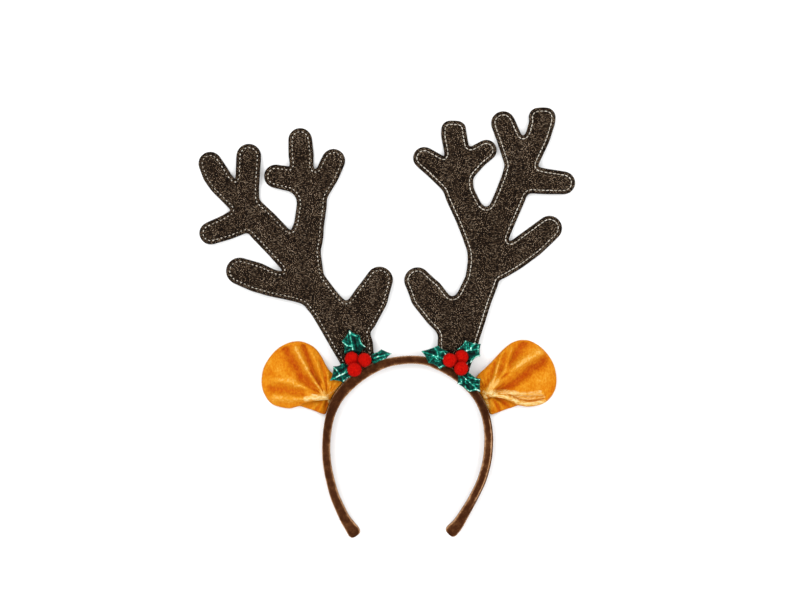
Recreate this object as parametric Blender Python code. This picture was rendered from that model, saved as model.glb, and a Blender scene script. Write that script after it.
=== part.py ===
"""Reindeer antler headband, lying on its back: +Z is the way its front faces and +Y runs up the antlers.

Plan tables are in millimetres, with X to the right as seen from the front. At the end everything moves
together, so that the middle of the whole plan is at X = Y = 0 and the lowest point is at Z = 0.
Run: blender --background --python part.py
"""

import math

import bmesh
import bpy
import numpy as np
from mathutils import Vector
from mathutils.geometry import delaunay_2d_cdt

MM = 0.001
GAP = 0.3  # clear space between neighbouring parts

BAND_DEPTH = 11.0  # front to back
BAND_CORNER = 2.3  # radius of the section's four corners
BAND_STEP = 7.0  # between sections along the hoop

FIELD_STEP = 0.8  # grid on which the outlines are worked out
RIM_ERROR = 0.12  # how far an outline's straight pieces may stray from the true curve
RIM_LONGEST = 6.0  # longest straight piece of an outline
STITCH_INSET = 3.0  # topstitching, inwards from an antler's edge
ANTLER_RIM_HALF = 0.9  # half thickness of the flat border outside the stitching
ANTLER_PAD_HALF = 2.3  # half thickness of the padding
FOOT_LEVEL = BAND_DEPTH / 2  # height of an antler's middle where it meets the band
FALL_START, FALL_END = -10.0, 75.0  # along Y, where the antlers sink from the band's middle to the floor

EAR_HALF = 1.6  # half thickness of the doubled velvet
EAR_RIM_LEVEL = 4.6  # height of the middle of an ear at its edge
EAR_DOME = 3.2  # how much higher the middle lies

LEAF_HALF = 0.7
LEAF_DOME = 0.5
BERRY_RADIUS = 4.7

# The hoop's middle line, from the left end round to the right end: x, y and half the width across the plan.
BAND_LINE = (
    (-25.2, -160.2, 4.8),
    (-28.5, -155.3, 4.2),
    (-31.8, -150.3, 3.8),
    (-36.7, -140.0, 3.5),
    (-40.6, -130.0, 3.3),
    (-45.2, -110.0, 3.1),
    (-46.0, -92.0, 3.0),
    (-43.6, -74.1, 3.3),
    (-38.3, -60.3, 3.9),
    (-30.7, -50.4, 4.1),
    (-20.2, -41.4, 4.0),
    (-9.9, -35.3, 3.7),
    (2.0, -30.8, 3.2),
    (17.0, -28.8, 3.0),
    (30.0, -29.7, 3.1),
    (40.1, -33.4, 3.3),
    (50.2, -38.9, 3.2),
    (60.4, -47.0, 3.1),
    (69.0, -56.8, 3.0),
    (75.0, -68.5, 3.1),
    (77.8, -80.0, 3.2),
    (78.5, -92.0, 3.3),
    (77.2, -106.1, 3.3),
    (73.5, -120.1, 3.3),
    (69.0, -130.1, 3.3),
    (63.7, -140.0, 3.4),
    (57.7, -150.1, 3.9),
    (54.4, -155.2, 4.3),
    (50.6, -159.4, 4.8),
)

# Each antler is a union of strokes, the trunk first. A stroke is the radius of the crotches that it makes with
# the strokes before it, then a row of (x, y, half width) points joined by tapering bars.
LEFT_STROKES = (
    (0.0, (
        (-18.0, -44.0, 10.4), (-21.6, -30.6, 13.0), (-25.6, -17.8, 15.5), (-36.3, 0.0, 15.2),
        (-46.9, 13.5, 13.0), (-60.6, 31.0, 13.3), (-66.0, 52.0, 15.8), (-61.2, 66.0, 12.3),
    )),
    (3.0, ((-5.3, 32.3, 10.4), (-11.8, 18.9, 13.2), (-21.0, 4.0, 14.2))),
    (2.0, ((-57.5, 104.0, 11.5), (-57.2, 90.0, 11.5), (-59.3, 75.0, 11.6), (-61.4, 64.0, 12.3))),
    (6.0, ((-85.0, 112.0, 9.0), (-72.0, 109.5, 9.5), (-60.0, 106.0, 10.0))),
    (2.0, ((-107.0, 88.0, 10.8), (-94.5, 73.9, 12.6), (-80.1, 58.8, 12.5), (-68.0, 46.0, 13.0))),
    (1.2, ((-112.7, 39.2, 10.4), (-100.0, 34.6, 11.3), (-88.0, 30.0, 10.3), (-70.0, 26.5, 10.5), (-58.0, 24.0, 11.5))),
    (2.0, ((-135.3, 121.8, 9.1), (-131.4, 114.2, 10.1), (-126.6, 106.9, 9.8), (-112.0, 91.2, 8.9))),
    (1.0, ((-105.6, 127.3, 9.6), (-106.8, 105.0, 9.2), (-107.0, 90.0, 9.5))),
    (1.2, ((-134.8, 68.3, 8.8), (-122.0, 73.0, 9.7), (-108.0, 80.0, 11.0))),
    (1.2, ((-66.2, 140.0, 9.1), (-65.4, 128.0, 9.7), (-64.9, 118.0, 8.8), (-60.0, 104.0, 10.0))),
    (1.2, ((-40.7, 124.0, 9.1), (-45.5, 113.3, 9.3), (-55.0, 100.0, 10.5))),
)
RIGHT_STROKES = (
    (0.0, (
        (50.8, -46.0, 9.9), (52.6, -33.0, 11.7), (54.6, -17.0, 15.4), (55.8, -9.0, 16.2), (61.6, 5.0, 15.0),
        (68.1, 20.0, 13.3), (73.3, 32.0, 12.8), (75.6, 46.0, 13.2), (76.2, 60.0, 14.4),
    )),
    (6.0, ((23.8, 32.0, 10.2), (31.3, 20.9, 13.3), (42.0, 7.0, 13.0))),
    (2.2, ((125.3, 72.2, 9.6), (112.0, 61.0, 10.8), (98.0, 50.6, 10.8), (86.0, 43.5, 10.8))),
    (3.0, ((54.5, 110.0, 11.6), (56.2, 98.7, 11.4), (60.2, 90.4, 11.6), (64.0, 82.2, 11.6), (72.0, 66.0, 13.2))),
    (2.0, ((29.0, 126.0, 8.6), (39.1, 118.9, 9.9), (52.0, 108.0, 11.0))),
    (0.5, ((51.8, 144.0, 9.9), (53.6, 134.0, 9.7), (55.2, 122.0, 9.9))),
    (0.0, ((48.7, 148.2, 6.6), (54.8, 148.2, 6.4))),
    (2.0, ((76.7, 132.0, 8.1), (69.5, 127.2, 8.9), (58.0, 117.0, 10.7))),
    (3.0, ((103.5, 122.0, 11.7), (100.0, 109.0, 11.9), (94.4, 95.0, 11.8), (87.0, 78.0, 11.8), (80.0, 64.0, 13.0))),
    (3.0, ((70.5, 83.6, 6.0), (78.5, 82.2, 5.5))),
    (0.5, ((89.6, 152.7, 9.3), (94.5, 140.5, 9.7), (100.5, 126.0, 11.0))),
    (2.0, ((120.0, 155.1, 9.8), (116.1, 142.0, 9.6), (108.0, 127.0, 10.5))),
    (0.0, ((116.5, 157.3, 7.4), (122.5, 157.3, 7.5))),
    (2.0, ((136.2, 106.9, 8.8), (122.0, 108.0, 9.8), (106.0, 110.0, 11.0))),
)

# Ear outlines, clockwise from the top of the join with the band.
LEFT_EAR_EDGE = (
    (-30.0, -45.0), (-36.0, -43.4), (-42.0, -38.6), (-45.2, -35.0), (-47.8, -30.0), (-50.2, -25.4), (-54.8, -19.6),
    (-60.0, -16.5), (-65.0, -14.7), (-70.0, -14.6), (-75.0, -15.7), (-80.0, -18.0), (-85.0, -21.6),
    (-90.0, -27.5), (-94.2, -35.0), (-95.8, -43.0), (-95.4, -50.0), (-93.6, -55.4), (-90.8, -60.0),
    (-87.4, -63.2), (-82.0, -65.0), (-74.0, -66.4), (-67.0, -64.4), (-63.0, -65.6), (-56.0, -67.8),
    (-49.0, -70.6), (-43.0, -71.4), (-38.0, -66.0), (-33.0, -55.0),
)
RIGHT_EAR_EDGE = (
    (69.8, -40.6), (75.0, -36.0), (80.0, -31.0), (85.0, -25.6), (90.0, -20.4), (95.0, -16.3),
    (100.0, -14.1), (105.0, -13.5), (110.0, -14.2), (115.0, -16.6), (120.0, -20.4), (125.0, -26.2),
    (128.2, -32.0), (130.0, -38.0), (130.6, -44.0), (130.0, -50.0), (128.0, -55.0), (125.0, -59.0),
    (120.6, -62.4), (114.0, -64.4), (107.0, -64.9), (101.0, -63.6), (99.6, -64.6), (94.0, -66.2),
    (86.0, -69.2), (80.0, -71.2), (76.0, -68.0), (72.0, -60.0), (66.0, -50.0),
)

# Folds of the velvet: the points that the fold runs through, its half width and its height (below zero, a valley).
LEFT_EAR_FOLDS = (
    (((-69.5, -20.0), (-65.0, -28.0), (-60.0, -37.0), (-55.0, -44.5), (-46.0, -57.0)), 2.0, 3.0),
    (((-64.0, -18.0), (-59.5, -27.0), (-57.5, -33.0), (-54.0, -42.0)), 2.8, -2.8),
    (((-77.0, -22.0), (-70.0, -33.0), (-64.0, -43.0), (-55.0, -54.0)), 3.6, -3.2),
    (((-86.0, -44.5), (-75.0, -45.5), (-64.0, -48.0), (-55.0, -53.0), (-47.0, -57.0)), 3.0, 2.4),
    (((-88.0, -52.0), (-76.0, -52.5), (-64.0, -54.0)), 2.6, -1.6),
    (((-88.0, -59.0), (-74.0, -60.5), (-62.0, -58.0), (-47.0, -56.5)), 3.0, 3.2),
    (((-67.0, -64.4), (-58.0, -61.0), (-48.0, -58.5)), 1.8, -2.0),
    (((-51.5, -25.0), (-48.5, -38.0), (-46.0, -52.0)), 2.0, 1.4),
)
RIGHT_EAR_FOLDS = (
    (((90.0, -22.0), (84.5, -35.0), (83.0, -42.0), (77.0, -53.0)), 1.8, 2.0),
    (((95.5, -20.0), (93.5, -30.0), (91.0, -36.0), (84.0, -47.0)), 2.0, 1.8),
    (((119.0, -22.0), (108.0, -28.0), (98.0, -34.5), (90.0, -41.0), (79.0, -51.0)), 3.6, 4.2),
    (((108.0, -35.0), (94.0, -43.5), (82.0, -52.0)), 2.4, 1.8),
    (((107.0, -17.0), (98.5, -25.0), (95.0, -33.0)), 3.4, -3.2),
    (((121.0, -29.0), (110.0, -36.5), (103.0, -42.5), (95.0, -48.5), (84.0, -52.0)), 3.4, -3.6),
    (((77.0, -55.0), (88.0, -55.8), (100.0, -58.0), (110.0, -60.0), (121.0, -59.5)), 3.4, 3.4),
    (((82.0, -58.5), (92.0, -60.5), (100.5, -64.0)), 1.8, -2.2),
    (((82.5, -60.0), (84.5, -69.0)), 1.7, 1.0),
    (((88.0, -61.5), (91.0, -67.0)), 1.7, 1.0),
)

# Holly leaves. spikes: the outline's corners, each with how far the edge after it bows inwards, as a part of
# its length. vein: the two ends of the middle vein. level: height of the middle surface at each end of the vein.
# tilt: rise for each millimetre to the left of the vein, looking from its first end.
LEAVES = {
    "holly_left_top": dict(
        spikes=(
            (-28.3, -5.6, 0.08), (-34.3, -14.6, 0.14), (-32.4, -23.8, 0.0), (-26.2, -24.2, 0.0),
            (-21.6, -25.2, 0.04), (-15.6, -19.0, 0.14), (-20.1, -9.8, 0.10),
        ),
        vein=((-24.5, -24.0), (-28.3, -5.8)), level=(9.0, 9.2), tilt=0.0,
    ),
    "holly_left_inner": dict(
        spikes=(
            (4.3, -24.0, 0.03), (-3.8, -20.6, 0.08), (-10.2, -23.8, 0.0), (-11.9, -26.0, 0.0),
            (-11.6, -29.4, 0.0), (-9.4, -32.0, 0.05), (-0.4, -28.1, 0.06),
        ),
        vein=((-11.8, -27.0), (4.0, -24.1)), level=(10.4, 10.4), tilt=-0.20,
    ),
    "holly_left_outer": dict(
        spikes=(
            (-40.7, -33.6, 0.10), (-43.5, -44.9, 0.10), (-32.8, -46.2, 0.16), (-26.5, -41.7, 0.0),
            (-28.0, -37.2, 0.0), (-29.2, -33.0, 0.0), (-33.2, -31.1, 0.12),
        ),
        vein=((-28.3, -37.4), (-43.2, -44.6)), level=(11.1, 10.2), tilt=0.0,
    ),
    "holly_right_inner": dict(
        spikes=(
            (26.7, -22.1, 0.07), (32.1, -31.3, 0.12), (41.0, -35.7, 0.05), (46.0, -33.4, 0.0),
            (44.6, -28.0, 0.0), (47.4, -22.4, 0.08), (39.5, -17.6, 0.04),
        ),
        vein=((44.8, -28.2), (27.0, -22.2)), level=(11.5, 11.5), tilt=0.2,
    ),
    "holly_right_top": dict(
        spikes=(
            (60.3, -13.6, 0.12), (54.0, -20.4, 0.0), (54.6, -21.8, 0.0), (58.0, -21.9, 0.0),
            (61.4, -25.4, 0.0), (61.4, -29.6, 0.0), (64.3, -33.1, 0.17), (71.9, -26.0, 0.08), (72.3, -16.6, 0.06),
        ),
        vein=((58.6, -22.4), (71.6, -20.4)), level=(9.2, 9.2), tilt=0.0,
    ),
    "holly_right_outer": dict(
        spikes=(
            (54.7, -40.2, 0.05), (54.1, -46.8, 0.04), (63.3, -53.2, 0.10), (71.9, -53.4, 0.05),
            (72.1, -43.2, 0.10), (62.9, -38.0, 0.0), (58.2, -38.6, 0.0),
        ),
        vein=((57.6, -40.4), (71.6, -53.0)), level=(12.2, 12.2), tilt=0.0,
    ),
}

# Berries: name, x and y. Each settles on what lies under it, in this order.
BERRIES = (
    ("berry_left_a", -26.3, -28.0),
    ("berry_left_b", -16.8, -28.8),
    ("berry_left_c", -24.2, -36.0),
    ("berry_right_a", 57.2, -26.6),
    ("berry_right_b", 48.5, -28.9),
    ("berry_right_c", 57.0, -35.0),
)
BERRY_COLUMNS, BERRY_ROWS = 12, 7

# Base colours, linear RGB, with roughness and metallic values.
FINISHES = {
    "headband": ((0.078, 0.026, 0.009), 0.85, 0.0),
    "antler": ((0.042, 0.030, 0.018), 0.60, 0.15),
    "ear": ((0.760, 0.250, 0.008), 0.75, 0.0),
    "holly": ((0.003, 0.150, 0.090), 0.32, 0.55),
    "berry": ((0.540, 0.010, 0.006), 0.85, 0.0),
}


def resample(path, step, closed=False):
    """Points at an even step along a path. Columns after the first two are carried along."""
    path = np.array(path, float)
    if closed:
        path = np.vstack([path, path[:1]])
    along = np.concatenate([[0], np.cumsum(np.hypot(*np.diff(path[:, :2], axis=0).T))])
    count = max(3, round(along[-1] / step))
    wanted = np.linspace(0, along[-1], count + 1)[: count if closed else count + 1]
    return np.column_stack([np.interp(wanted, along, column) for column in path.T])


def smooth_path(rows, step, closed=False):
    """A curve through every row (Catmull-Rom), resampled at an even step."""
    rows = np.array(rows, float)
    if closed:
        around = np.vstack([rows[-1], rows, rows[:2]])
    else:
        around = np.vstack([2 * rows[0] - rows[1], rows, 2 * rows[-1] - rows[-2]])
    fine = []
    for a, b, c, d in zip(around, around[1:], around[2:], around[3:]):
        for t in np.linspace(0, 1, 10, endpoint=False):
            cubic = (3 * b - a - 3 * c + d) * t**3
            fine.append((2 * b + (c - a) * t + (2 * a - 5 * b + 4 * c - d) * t**2 + cubic) / 2)
    if not closed:
        fine.append(rows[-1])
    return resample(fine, step, closed)


def bar_distance(x, y, a, b):
    """Distance to a bar that tapers from point a to point b, each (x, y, half width). Negative inside."""
    dx, dy = b[0] - a[0], b[1] - a[1]
    t = np.clip(((x - a[0]) * dx + (y - a[1]) * dy) / (dx * dx + dy * dy), 0, 1)
    return np.hypot(x - a[0] - t * dx, y - a[1] - t * dy) - (a[2] + t * (b[2] - a[2]))


def stroke_distance(x, y, rows):
    return np.min([bar_distance(x, y, a, b) for a, b in zip(rows, rows[1:])], axis=0)


def rounded_union(a, b, radius):
    """Joins two shapes given by their distances, with a fillet of this radius in the corner between them."""
    corner = np.hypot(np.maximum(radius - a, 0), np.maximum(radius - b, 0))
    return np.maximum(radius, np.minimum(a, b)) - corner


def polygon_distance(x, y, loop):
    """Distance to the edge of a closed outline. Negative inside."""
    nearest = np.full(np.shape(x), 1e9)
    inside = np.zeros(np.shape(x), bool)
    for (ax, ay), (bx, by) in zip(loop, np.roll(loop, -1, axis=0)):
        nearest = np.minimum(nearest, bar_distance(x, y, (ax, ay, 0), (bx, by, 0)))
        if ay != by:
            crosses = (ay > y) != (by > y)
            inside ^= crosses & (x < ax + (y - ay) * (bx - ax) / (by - ay))
    return np.where(inside, -nearest, nearest)


def band_rows():
    return smooth_path(BAND_LINE, BAND_STEP)


def band_distance(x, y):
    return stroke_distance(x, y, band_rows())


def clear_of_band(x, y, distance):
    """The shape with the band, and a gap round it, taken away."""
    return np.maximum(distance, GAP - band_distance(x, y))


def antler_distance(x, y, strokes):
    whole = np.full(np.shape(x), 1e9)
    for radius, rows in strokes:
        whole = rounded_union(whole, stroke_distance(x, y, rows), radius)
    return clear_of_band(x, y, whole)


def ear_distance(x, y, edge):
    return clear_of_band(x, y, polygon_distance(x, y, smooth_path(edge, 2.0, closed=True)))


def zero_loop(distance, box, level):
    """The longest closed loop along which the distance equals the level, anticlockwise."""
    xs = np.arange(box[0], box[1] + FIELD_STEP, FIELD_STEP)
    ys = np.arange(box[2], box[3] + FIELD_STEP, FIELD_STEP)
    field = distance(*np.meshgrid(xs, ys, indexing="ij")) - level
    inside = field < 0
    corners = inside[:-1, :-1].astype(int) + inside[1:, :-1] + inside[1:, 1:] + inside[:-1, 1:]
    follow = {}
    for i, j in zip(*np.nonzero((corners > 0) & (corners < 4))):
        ring = [(i, j), (i + 1, j), (i + 1, j + 1), (i, j + 1)]
        crossings = []
        for a, b in zip(ring, ring[1:] + ring[:1]):
            if inside[a] != inside[b]:
                crossings.append((inside[a], (min(a, b), max(a, b))))
        if not crossings[0][0]:
            crossings = crossings[1:] + crossings[:1]
        for leaves, enters in zip(crossings[::2], crossings[1::2]):
            follow[leaves[1]] = enters[1]

    loops = []
    while follow:
        edge = next(iter(follow))
        loop = []
        while edge in follow:
            a, b = edge
            t = field[a] / (field[a] - field[b])
            loop.append((xs[a[0]] + t * (xs[b[0]] - xs[a[0]]), ys[a[1]] + t * (ys[b[1]] - ys[a[1]])))
            edge = follow.pop(edge)
        loops.append(loop)
    return np.array(max(loops, key=len))


def thinned(loop):
    """The fewest of a closed loop's points that keep its shape within RIM_ERROR and its pieces short."""
    across = int(np.argmax(np.hypot(*(loop - loop[0]).T)))
    around = np.vstack([loop, loop[:1]])
    kept = {0, across}
    spans = [(0, across), (across, len(loop))]
    while spans:
        first, last = spans.pop()
        if last - first < 2:
            continue
        a, b = around[first], around[last]
        between = around[first + 1 : last]
        strays = bar_distance(between[:, 0], between[:, 1], (*a, 0), (*b, 0))
        middle = first + 1 + int(np.argmax(strays))
        if strays.max() < RIM_ERROR:
            if np.hypot(*(b - a)) < RIM_LONGEST:
                continue
            middle = (first + last) // 2
        kept.add(middle)
        spans += [(first, middle), (middle, last)]
    return loop[sorted(kept)]


def filling_points(distance, box, spacing, inset):
    """A triangular grid of points that lie further than the inset inside the shape."""
    rows = np.arange(box[2], box[3], spacing * math.sqrt(3) / 2)
    columns = np.arange(box[0], box[1], spacing)
    x, y = np.meshgrid(columns, rows)
    x = x + (np.arange(len(rows)) % 2)[:, None] * spacing / 2
    keep = distance(x, y) < -inset
    return np.column_stack([x[keep], y[keep]])


def new_object(name, vertices, faces, finish):
    mesh = bpy.data.meshes.new(name)
    mesh.from_pydata([tuple(v) for v in np.array(vertices) * MM], [], [tuple(face) for face in faces])
    mesh.materials.append(new_material(name, finish))
    obj = bpy.data.objects.new(name, mesh)
    bpy.context.scene.collection.objects.link(obj)
    return obj


def new_material(name, finish):
    colour, roughness, metallic = FINISHES[finish]
    material = bpy.data.materials.new(name)
    material.use_nodes = True
    shader = material.node_tree.nodes["Principled BSDF"]
    shader.inputs["Base Color"].default_value = (*colour, 1)
    shader.inputs["Roughness"].default_value = roughness
    shader.inputs["Metallic"].default_value = metallic
    return material


def sheet(name, rim, filling, surface, finish):
    """A closed sheet over a plan outline. surface gives the middle height and half thickness at plan points."""
    points = np.vstack([rim, filling])
    border = [(i, (i + 1) % len(rim)) for i in range(len(rim))]
    found, _, faces, sources, _, _ = delaunay_2d_cdt([Vector(p) for p in points], border, [], 1, 1e-6)
    plan = np.array([tuple(p) for p in found])
    middle, half = surface(plan[:, 0], plan[:, 1])
    top = np.column_stack([plan, middle + half])
    bottom = np.column_stack([plan, middle - half])
    count = len(plan)

    upward = []
    for face in faces:
        a, b, c = (plan[i] for i in face)
        turn = (b[0] - a[0]) * (c[1] - a[1]) - (b[1] - a[1]) * (c[0] - a[0])
        upward.append(tuple(face) if turn > 0 else tuple(face)[::-1])
    place = {source: i for i, group in enumerate(sources) for source in group}
    walls = []
    for a, b in border:
        a, b = place[a], place[b]
        walls.append((a + count, b + count, b, a))
    downward = [tuple(i + count for i in face[::-1]) for face in upward]
    return new_object(name, np.vstack([top, bottom]), upward + downward + walls, finish)


def make_band():
    """The hoop: a rounded rectangle swept along the middle line, with rounded ends."""
    rows = band_rows()
    tangents = np.gradient(rows[:, :2], axis=0)
    tangents /= np.linalg.norm(tangents, axis=1)[:, None]
    stations = [(row[0], row[1], row[2], 1.0, tangent) for row, tangent in zip(rows, tangents)]
    for index, way in ((0, -1), (-1, 1)):
        x, y, half = rows[index]
        tangent = tangents[index]
        for turn in (30, 55, 78):
            reach, shrink = half * math.sin(math.radians(turn)), math.cos(math.radians(turn))
            centre = np.array([x, y]) + way * reach * tangent
            station = (centre[0], centre[1], half * shrink, 0.55 + 0.45 * shrink, tangent)
            stations.insert(0 if way < 0 else len(stations), station)

    vertices, faces = [], []
    for x, y, half, flatten, tangent in stations:
        outward = np.array([-tangent[1], tangent[0]])
        corner = min(BAND_CORNER, half * 0.8)
        tall = BAND_DEPTH * flatten / 2
        for side, up in ((1, 1), (-1, 1), (-1, -1), (1, -1)):
            start = {(1, 1): 0, (-1, 1): 90, (-1, -1): 180, (1, -1): 270}[(side, up)]
            for turn in (0, 45, 90):
                angle = math.radians(start + turn)
                across = side * (half - corner) + corner * math.cos(angle)
                height = BAND_DEPTH / 2 + up * (tall - corner) + corner * math.sin(angle)
                vertices.append((x + across * outward[0], y + across * outward[1], height))
    around = 12
    for i in range(len(stations) - 1):
        for j in range(around):
            k = (j + 1) % around
            faces.append((i * around + j, i * around + k, (i + 1) * around + k, (i + 1) * around + j))
    faces.append(tuple(reversed(range(around))))
    faces.append(tuple((len(stations) - 1) * around + j for j in range(around)))
    obj = new_object("headband", vertices, faces, "headband")
    face_outwards(obj)
    return obj


def face_outwards(obj):
    work = bmesh.new()
    work.from_mesh(obj.data)
    bmesh.ops.recalc_face_normals(work, faces=work.faces)
    work.to_mesh(obj.data)
    work.free()


def antler_surface(strokes):
    def surface(x, y):
        inset = -antler_distance(x, y, strokes)
        past_stitch = np.maximum(inset - STITCH_INSET, 0)
        half = ANTLER_RIM_HALF + (ANTLER_PAD_HALF - ANTLER_RIM_HALF) * (1 - np.exp(-past_stitch / 3.0))
        fall = np.clip((y - FALL_START) / (FALL_END - FALL_START), 0, 1)
        fall = fall * fall * (3 - 2 * fall)
        waves = 0.9 * (1 + np.sin(x / 17.0 + 1.1) * np.cos(y / 21.0))
        low = ANTLER_PAD_HALF + waves
        return FOOT_LEVEL * (1 - fall) + low * fall, half

    return surface


def make_antler(name, strokes, box):
    def distance(x, y):
        return antler_distance(x, y, strokes)

    rim = thinned(zero_loop(distance, box, 0))
    stitch = resample(zero_loop(distance, box, -STITCH_INSET), 5.0, closed=True)
    filling = np.vstack([stitch, filling_points(distance, box, 7.0, STITCH_INSET + 2.6)])
    return sheet(name, rim, filling, antler_surface(strokes), "antler")


def fold_height(x, y, folds):
    """The sum of the folds, each a smooth bump across its line."""
    total = np.zeros(np.shape(x))
    for line, half_width, height in folds:
        rows = [(px, py, 0.0) for px, py in line]
        total += height * np.exp(-((stroke_distance(x, y, rows) / half_width) ** 2))
    return total


def ear_surface(edge, folds):
    def surface(x, y):
        inset = np.maximum(-ear_distance(x, y, edge), 0)
        dome = EAR_DOME * (1 - np.exp(-inset / 8.0))
        fade = np.clip(inset / 3.0, 0, 1)
        middle = EAR_RIM_LEVEL + dome + fade * fold_height(x, y, folds)
        half = 0.8 + (EAR_HALF - 0.8) * np.clip(inset / 2.5, 0, 1)
        return np.maximum(middle, half + 0.6), half

    return surface


def make_ear(name, edge, folds, box):
    def distance(x, y):
        return ear_distance(x, y, edge)

    rim = thinned(zero_loop(distance, box, 0))
    filling = filling_points(distance, box, 3.7, 2.0)
    return sheet(name, rim, filling, ear_surface(edge, folds), "ear")


def leaf_outline(spikes):
    """The corners, with the edge between two of them bowed inwards."""
    middle = np.mean([spike[:2] for spike in spikes], axis=0)
    outline = []
    for (ax, ay, bow), (bx, by, _) in zip(spikes, spikes[1:] + spikes[:1]):
        outline.append((ax, ay))
        if not bow:
            continue
        a, b = np.array([ax, ay]), np.array([bx, by])
        across = np.array([ay - by, bx - ax])
        if np.dot(across, middle - (a + b) / 2) < 0:
            across = -across
        for t in (0.25, 0.5, 0.75):
            outline.append(tuple(a + t * (b - a) + 4 * t * (1 - t) * bow * across))
    return np.array(outline)


def make_leaf(name, spikes, vein, level, tilt):
    outline = leaf_outline(spikes)
    base, tip = np.array(vein[0]), np.array(vein[1])
    length = np.linalg.norm(tip - base)
    along = (tip - base) / length
    left = np.array([-along[1], along[0]])

    def distance(x, y):
        return polygon_distance(x, y, outline)

    def surface(x, y):
        s = ((x - base[0]) * along[0] + (y - base[1]) * along[1]) / length
        t = (x - base[0]) * left[0] + (y - base[1]) * left[1]
        dome = LEAF_DOME * np.clip(-distance(x, y) / 3.0, 0, 1)
        middle = level[0] + (level[1] - level[0]) * np.clip(s, 0, 1) + tilt * t + dome
        return middle, np.full(np.shape(x), LEAF_HALF)

    lows, highs = outline.min(axis=0), outline.max(axis=0)
    box = (lows[0], highs[0], lows[1], highs[1])
    return sheet(name, outline, filling_points(distance, box, 3.4, 1.4), surface, "holly")


def settled_height(x, y, placed):
    """Height of a berry's middle when it rests on the antler, the band's front or the berries below it."""
    reach = 2 * BERRY_RADIUS + GAP
    heights = [FOOT_LEVEL + ANTLER_PAD_HALF + GAP + BERRY_RADIUS]
    beyond = float(band_distance(np.array(x), np.array(y)))
    if beyond < BERRY_RADIUS + GAP:
        heights.append(BAND_DEPTH + math.sqrt((BERRY_RADIUS + GAP) ** 2 - max(beyond, 0) ** 2))
    for px, py, pz in placed:
        apart = math.hypot(x - px, y - py)
        if apart < reach:
            heights.append(pz + math.sqrt(reach**2 - apart**2))
    return max(heights)


def make_berry(name, x, y, z):
    """A ball: rings of points between two poles."""
    vertices = [(x, y, z - BERRY_RADIUS)]
    for row in range(1, BERRY_ROWS):
        polar = math.pi * row / BERRY_ROWS
        for column in range(BERRY_COLUMNS):
            turn = 2 * math.pi * column / BERRY_COLUMNS
            ring = BERRY_RADIUS * math.sin(polar)
            height = z - BERRY_RADIUS * math.cos(polar)
            vertices.append((x + ring * math.cos(turn), y + ring * math.sin(turn), height))
    vertices.append((x, y, z + BERRY_RADIUS))
    top = len(vertices) - 1
    faces = []
    for column in range(BERRY_COLUMNS):
        beside = (column + 1) % BERRY_COLUMNS
        faces.append((0, 1 + beside, 1 + column))
        faces.append((top, top - BERRY_COLUMNS + column, top - BERRY_COLUMNS + beside))
        for row in range(BERRY_ROWS - 2):
            low = 1 + row * BERRY_COLUMNS
            high = low + BERRY_COLUMNS
            faces.append((low + column, low + beside, high + beside, high + column))
    return new_object(name, vertices, faces, "berry")


def centre_everything():
    """Moves every mesh so that the plan's middle is at X = Y = 0 and the lowest point at Z = 0."""
    objects = [obj for obj in bpy.data.objects if obj.type == "MESH"]
    corners = np.array([vertex.co for obj in objects for vertex in obj.data.vertices])
    low, high = corners.min(axis=0), corners.max(axis=0)
    shift = Vector((-(low[0] + high[0]) / 2, -(low[1] + high[1]) / 2, -low[2]))
    for obj in objects:
        for vertex in obj.data.vertices:
            vertex.co += shift
        obj.data.update()


def main():
    for obj in list(bpy.data.objects):
        bpy.data.objects.remove(obj)
    make_band()
    make_antler("antler_left", LEFT_STROKES, (-150, 10, -50, 155))
    make_antler("antler_right", RIGHT_STROKES, (10, 150, -50, 170))
    make_ear("ear_left", LEFT_EAR_EDGE, LEFT_EAR_FOLDS, (-100, -30, -76, -10))
    make_ear("ear_right", RIGHT_EAR_EDGE, RIGHT_EAR_FOLDS, (60, 135, -76, -10))
    for name, leaf in LEAVES.items():
        make_leaf(name, **leaf)
    placed = []
    for name, x, y in BERRIES:
        z = settled_height(x, y, placed)
        placed.append((x, y, z))
        make_berry(name, x, y, z)
    centre_everything()


main()
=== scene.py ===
"""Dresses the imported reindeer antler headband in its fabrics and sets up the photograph's view of it.

The photograph looks straight down onto the headband's front as it lies on its back. Plan tables are in
millimetres, measured as in the part's source: X to the right, Y up the antlers, Z towards the camera.
"""

import math

import bpy
import numpy as np
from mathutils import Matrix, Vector
from mathutils.bvhtree import BVHTree
from mathutils.geometry import delaunay_2d_cdt


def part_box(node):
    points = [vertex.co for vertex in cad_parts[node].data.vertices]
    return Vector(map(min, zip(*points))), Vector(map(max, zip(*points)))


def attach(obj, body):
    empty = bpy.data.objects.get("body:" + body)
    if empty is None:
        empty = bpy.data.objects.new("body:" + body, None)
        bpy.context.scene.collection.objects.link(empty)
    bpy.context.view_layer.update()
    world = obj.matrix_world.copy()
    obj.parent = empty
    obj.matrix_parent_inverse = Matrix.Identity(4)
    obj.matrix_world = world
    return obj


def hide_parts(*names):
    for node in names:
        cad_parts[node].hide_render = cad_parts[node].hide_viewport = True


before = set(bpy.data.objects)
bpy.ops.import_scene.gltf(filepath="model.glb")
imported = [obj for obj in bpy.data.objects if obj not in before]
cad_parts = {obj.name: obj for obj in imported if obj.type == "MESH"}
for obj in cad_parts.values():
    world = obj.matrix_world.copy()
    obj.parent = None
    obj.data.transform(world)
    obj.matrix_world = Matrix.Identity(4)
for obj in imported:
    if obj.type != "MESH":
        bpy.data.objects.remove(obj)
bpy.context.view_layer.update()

MM = 0.001
CENTRING = np.array([-0.296, 0.034])  # how far the part's source moves the plan tables to centre the whole
RANDOM_SEED = 7
FRONT_FACTS = ("cream",)  # numbers of a soft sheet's points that hold for its front alone

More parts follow.
